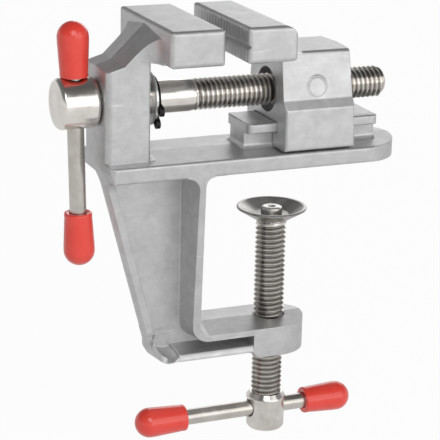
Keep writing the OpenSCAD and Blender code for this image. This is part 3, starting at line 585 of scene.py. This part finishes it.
def make_red_vinyl(name):
    """Glossy moulded vinyl with a faint orange-peel skin and dust-dulled patches."""
    material = bpy.data.materials.new(name)
    material.use_nodes = True
    tree = material.node_tree
    shader = tree.nodes["Principled BSDF"]
    shader.inputs["Metallic"].default_value = 0.0
    shader.inputs["Coat Roughness"].default_value = 0.12
    place = tree.nodes.new("ShaderNodeTexCoord").outputs["Object"]
    cloud = add_node(tree, "ShaderNodeTexNoise", {"Scale": 220.0, "Detail": 3.0, "Roughness": 0.55}, {"Vector": place})
    peel = add_node(tree, "ShaderNodeTexNoise", {"Scale": 1500.0, "Detail": 2.0, "Roughness": 0.5}, {"Vector": place})
    tint = colour_ramp(tree, cloud.outputs[0], [(0.3, (0.93, 0.055, 0.036)), (0.7, (0.98, 0.075, 0.050))])
    tree.links.new(tint, shader.inputs["Base Color"])
    rough = math_node(tree, "ADD", 0.26, math_node(tree, "MULTIPLY", cloud.outputs[0], 0.10))
    tree.links.new(rough, shader.inputs["Roughness"])
    coat = math_node(tree, "ADD", 0.35, math_node(tree, "MULTIPLY", cloud.outputs[0], 0.3))
    tree.links.new(coat, shader.inputs["Coat Weight"])
    bump = add_node(tree, "ShaderNodeBump", {"Strength": 0.12, "Distance": 0.04 * MM}, {"Height": peel.outputs[0]})
    tree.links.new(bump.outputs["Normal"], shader.inputs["Normal"])
    return material


red_vinyl = make_red_vinyl("red vinyl")
BAR_LIGHT, BAR_DARK = (0.66, 0.63, 0.59), (0.54, 0.51, 0.47)
bar_steel_upright = make_steel("bar steel upright", (0.5, 0.5, 0.04), BAR_LIGHT, BAR_DARK, 0.30, 0.10)

HANDLE_L, CAP_L, CAP_GRIP, BAR_R, CAP_OPEN_R, CAP_DOME_R = 59.1, 13.1, 6.5, 2.0, 3.35, 3.75
bar_low, bar_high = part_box("main_handle_bar")
bar_axis = next(Vector(joint["axis"]) for joint in frame["joints"] if joint["name"] == "main_handle_slide")
main_handle_place = (Matrix.Translation((bar_low + bar_high) / 2)
                     @ Vector((0, 0, 1)).rotation_difference(bar_axis).to_matrix().to_4x4())
upper_cap_place = main_handle_place @ Matrix.Translation((0, 0, (HANDLE_L / 2 - CAP_L) * MM))
lower_cap_place = (main_handle_place @ Matrix.Translation((0, 0, (CAP_L - HANDLE_L / 2) * MM))
                   @ Matrix.Rotation(pi, 4, "X"))
for name, node, place in (("main_cap_upper", "main_handle_cap_upper", upper_cap_place),
                          ("main_cap_lower", "main_handle_cap_lower", lower_cap_place)):
    cap_bm = handle_cap(CAP_L, CAP_OPEN_R, CAP_DOME_R, BAR_R, CAP_GRIP, place)
    shade(cap_bm, crease=60, flat=9 * MM)
    cap = add_piece(name, cap_bm, red_vinyl)
    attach(cap, "main_handle")
    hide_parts(node)

main_bar_bm = handle_bar(HANDLE_L - 2 * (CAP_L - CAP_GRIP), BAR_R, main_handle_place)
shade(main_bar_bm, flat=9 * MM)
main_bar = add_piece("main_bar_drawn", main_bar_bm, bar_steel_upright)
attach(main_bar, "main_handle")
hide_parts("main_handle_bar")

# ---------------------------------------------------------------------------
# Clamp screw: the same steel and thread as the main screw, with its head below
# the boss. Its upper end is a plain spigot for the pad.
# ---------------------------------------------------------------------------
# Painted shade: the main screw's steel with its colours written darker, and 0.55 of painted shade in the thread
# valleys.
shaded_clamp_steel = make_steel("clamp screw steel", (0.04, 0.04, 1.0), (0.76, 0.73, 0.69), (0.60, 0.57, 0.53), 0.20, 0.05,
                         (0, 0, 1), 0.0, -0.062, 0.55)

clamp_low, clamp_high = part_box("clamp_screw")
clamp_low_z, clamp_top_z = clamp_low.z / MM, clamp_high.z / MM
clamp_head_top_z, clamp_head_r = clamp_low_z + 9.8, 5.0
seat_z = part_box("clamp_pad")[0].z / MM - 0.05
clamp_thread_top_z = seat_z - 0.5
clamp_profile = [
    (0, clamp_low_z), (clamp_head_r - 1.1, clamp_low_z), (clamp_head_r - 0.6, clamp_low_z + 0.2),
    (clamp_head_r - 0.2, clamp_low_z + 0.8), (clamp_head_r - 0.2, clamp_head_top_z - 2.0),
    (clamp_head_r, clamp_head_top_z - 1.7), (clamp_head_r, clamp_head_top_z - 1.3),
    (clamp_head_r - 0.2, clamp_head_top_z - 1.0), (shank_r + 0.2, clamp_head_top_z - 0.05),
    (shank_r - 1.0, clamp_head_top_z), (shank_r - 1.0, clamp_thread_top_z - 0.2),
    (shank_r - 0.3, clamp_thread_top_z), (shank_r - 0.5, seat_z), (1.7, seat_z), (1.7, clamp_top_z),
    (0, clamp_top_z)]
clamp_bm = turn_profile(clamp_profile, Matrix.Identity(4))
clamp_bar_low, clamp_bar_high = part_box("clamp_handle_bar")
clamp_bar_middle = (clamp_bar_low + clamp_bar_high) / 2
clamp_bm = cut_away(clamp_bm, turn_profile(CROSS_HOLE, Matrix.Translation((0, 0, clamp_bar_middle.z)) @ ALONG_X))
clamp_thread_bm = rolled_thread(clamp_head_top_z - 0.1, clamp_thread_top_z, thread_crest_r, THREAD_PITCH, -1.0, 0.0,
                                Matrix.Identity(4))
clamp_bm = join(clamp_bm, clamp_thread_bm)
shade(clamp_bm, crease=40, flat=3 * MM)
clamp_screw = add_piece("clamp_screw_turned", clamp_bm, shaded_clamp_steel)
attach(clamp_screw, "lower_screw")
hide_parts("clamp_screw")

# ---------------------------------------------------------------------------
# Clamp pad and rivet: a dished pad pressed from steel sheet swivels on the
# clamp screw's spigot, which is peened over it into a low round head.
# ---------------------------------------------------------------------------
pad_steel = make_steel("pressed pad steel", (0.4, 0.4, 1.0), (0.50, 0.49, 0.47), (0.36, 0.35, 0.33), 0.34, 0.15)
rivet_steel = make_steel("peened rivet steel", (0.6, 0.6, 0.6), (0.66, 0.65, 0.62), (0.52, 0.50, 0.48), 0.28, 0.30)

pad_low, pad_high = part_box("clamp_pad")
pad_seat_z, pad_rim_z, pad_r = pad_low.z / MM, pad_high.z / MM, pad_high.x / MM
pad_bm = turn_profile([
    (1.75, pad_seat_z + 0.05), (4.2, pad_seat_z), (4.8, pad_seat_z + 0.12), (pad_r - 0.5, pad_rim_z - 0.75),
    (pad_r - 0.08, pad_rim_z - 0.5), (pad_r, pad_rim_z - 0.25), (pad_r - 0.15, pad_rim_z - 0.05),
    (pad_r - 0.5, pad_rim_z), (pad_r - 1.0, pad_rim_z - 0.12), (4.6, pad_seat_z + 1.12), (4.0, pad_seat_z + 1.0),
    (1.75, pad_seat_z + 1.0), (1.75, pad_seat_z + 0.05)], Matrix.Identity(4), 96)
shade(pad_bm, crease=50)
pad = add_piece("clamp_pad_pressed", pad_bm, pad_steel)
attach(pad, "swivel_pad")
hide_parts("clamp_pad")

rivet_low, rivet_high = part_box("pad_rivet")
rivet_low_z, rivet_top_z, rivet_r = rivet_low.z / MM, rivet_high.z / MM, rivet_high.x / MM
rivet_head = turn_profile([
    (0, rivet_low_z), (rivet_r - 0.3, rivet_low_z), (rivet_r, rivet_low_z + 0.3), (rivet_r, rivet_top_z - 0.55),
    (rivet_r - 0.15, rivet_top_z - 0.2), (rivet_r - 0.5, rivet_top_z), (0, rivet_top_z)], Matrix.Identity(4), 48)
punch_mark = turn_profile([(0, rivet_top_z - 0.9), (0.9, rivet_top_z - 0.8), (1.35, rivet_top_z + 0.3),
                           (0, rivet_top_z + 0.3)], Matrix.Identity(4), 5)
rivet_bm = cut_away(rivet_head, punch_mark)
shade(rivet_bm)
rivet = add_piece("pad_rivet_peened", rivet_bm, rivet_steel)
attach(rivet, "lower_screw")
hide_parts("pad_rivet")

# ---------------------------------------------------------------------------
# Clamp handle: the same bar and caps as the main handle, lying through the
# clamp screw's head and slid towards the post.
# ---------------------------------------------------------------------------
bar_steel_level = make_steel("bar steel level", (0.04, 0.5, 0.5), BAR_LIGHT, BAR_DARK, 0.30, 0.10)

clamp_handle_place = Matrix.Translation(clamp_bar_middle) @ ALONG_X
left_cap_place = (clamp_handle_place @ Matrix.Translation((0, 0, (CAP_L - HANDLE_L / 2) * MM))
                  @ Matrix.Rotation(pi, 4, "X"))
right_cap_place = clamp_handle_place @ Matrix.Translation((0, 0, (HANDLE_L / 2 - CAP_L) * MM))
for name, node, place in (("clamp_cap_left", "clamp_handle_cap_left", left_cap_place),
                          ("clamp_cap_right", "clamp_handle_cap_right", right_cap_place)):
    cap_bm = handle_cap(CAP_L, CAP_OPEN_R, CAP_DOME_R, BAR_R, CAP_GRIP, place)
    shade(cap_bm, crease=60, flat=9 * MM)
    cap = add_piece(name, cap_bm, red_vinyl)
    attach(cap, "lower_handle")
    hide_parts(node)

clamp_bar_bm = handle_bar(HANDLE_L - 2 * (CAP_L - CAP_GRIP), BAR_R, clamp_handle_place)
shade(clamp_bar_bm, flat=9 * MM)
clamp_bar = add_piece("clamp_bar_drawn", clamp_bar_bm, bar_steel_level)
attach(clamp_bar, "lower_handle")
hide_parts("clamp_handle_bar")

# ---------------------------------------------------------------------------
# Studio: a plain white sweep below the lowest reach of the clamp screw, three
# soft lamps and a pale surround. The camera stands where the photograph's did.
# ---------------------------------------------------------------------------
floor_z, floor_glow, mirrored_share = -100 * MM, 0.96, 0.6
floor_bm = bmesh.new()
bmesh.ops.create_grid(floor_bm, x_segments=1, y_segments=1, size=4.0, matrix=Matrix.Translation((0, 0, floor_z)))
floor_mesh = bpy.data.meshes.new("floor")
floor_bm.to_mesh(floor_mesh)
floor_bm.free()
floor = bpy.data.objects.new("floor", floor_mesh)
bpy.context.scene.collection.objects.link(floor)
floor_paper = bpy.data.materials.new("floor paper")
floor_paper.use_nodes = True
tree = floor_paper.node_tree
tree.nodes.clear()
path = tree.nodes.new("ShaderNodeLightPath")
mirrored = math_node(tree, "MAXIMUM", path.outputs["Is Glossy Ray"], path.outputs["Is Transmission Ray"])
seen = math_node(tree, "MAXIMUM", path.outputs["Is Camera Ray"], math_node(tree, "MULTIPLY", mirrored, mirrored_share))
matt = add_node(tree, "ShaderNodeBsdfDiffuse", {"Color": (0.93, 0.93, 0.93, 1)})
glow = add_node(tree, "ShaderNodeEmission", {"Color": (1, 1, 1, 1), "Strength": 1.0})
sheet = add_node(tree, "ShaderNodeMixShader", links={
    0: math_node(tree, "MULTIPLY", seen, floor_glow), 1: matt.outputs[0], 2: glow.outputs[0]})
output = tree.nodes.new("ShaderNodeOutputMaterial")
tree.links.new(sheet.outputs[0], output.inputs["Surface"])
floor_mesh.materials.append(floor_paper)

world = bpy.data.worlds.new("studio")
world.use_nodes = True
bpy.context.scene.world = world
tree = world.node_tree
tree.nodes.clear()
direction = add_node(tree, "ShaderNodeSeparateXYZ",
                     links={"Vector": tree.nodes.new("ShaderNodeTexCoord").outputs["Generated"]})
surround = colour_ramp(tree, direction.outputs["Z"], [(0.0, 0.95), (0.16, 0.75), (0.34, 0.24), (1.0, 0.10)])
lit = add_node(tree, "ShaderNodeBackground", {"Strength": 1.0}, {"Color": surround})
white = add_node(tree, "ShaderNodeBackground", {"Color": (1, 1, 1, 1), "Strength": 1.0})
sky = add_node(tree, "ShaderNodeMixShader", links={
    0: tree.nodes.new("ShaderNodeLightPath").outputs["Is Camera Ray"], 1: lit.outputs[0], 2: white.outputs[0]})
output = tree.nodes.new("ShaderNodeOutputWorld")
tree.links.new(sky.outputs[0], output.inputs["Surface"])


def soft_lamp(name, place, target, width, height, power):
    """A rectangular soft lamp that looks at a point. Places are in metres."""
    lamp = bpy.data.lights.new(name, "AREA")
    lamp.shape, lamp.size, lamp.size_y, lamp.energy = "RECTANGLE", width, height, power
    obj = bpy.data.objects.new(name, lamp)
    bpy.context.scene.collection.objects.link(obj)
    obj.location = place
    obj.rotation_euler = (Vector(target) - Vector(place)).to_track_quat("-Z", "Y").to_euler()


soft_lamp("key lamp", (0.42, -0.92, 0.34), (0, 0, 0), 1.0, 0.8, 3.2)
soft_lamp("back lamp", (0.60, 0.92, 0.38), (0, 0, 0.02), 0.7, 0.5, 1.7)
soft_lamp("fill lamp", (-0.22, -0.85, 0.72), (0, 0, 0), 0.6, 0.6, 3.4)

# Lens and place were fitted to the outlines in the photograph.
camera = bpy.data.cameras.new("camera")
camera.sensor_width, camera.lens = 36.0, 142.7045
camera.clip_start, camera.clip_end = 0.01, 20.0
camera_obj = bpy.data.objects.new("camera", camera)
bpy.context.scene.collection.objects.link(camera_obj)
camera_obj.matrix_world = Matrix((
    (0.92276452, 0.0955602, -0.37332812, -0.1740089),
    (-0.38475115, 0.2830842, -0.8785385, -0.3768842),
    (0.02172998, 0.95432258, 0.29798695, 0.1130795),
    (0, 0, 0, 1)))
bpy.context.scene.camera = camera_obj
bpy.context.scene.view_settings.view_transform = "Standard"
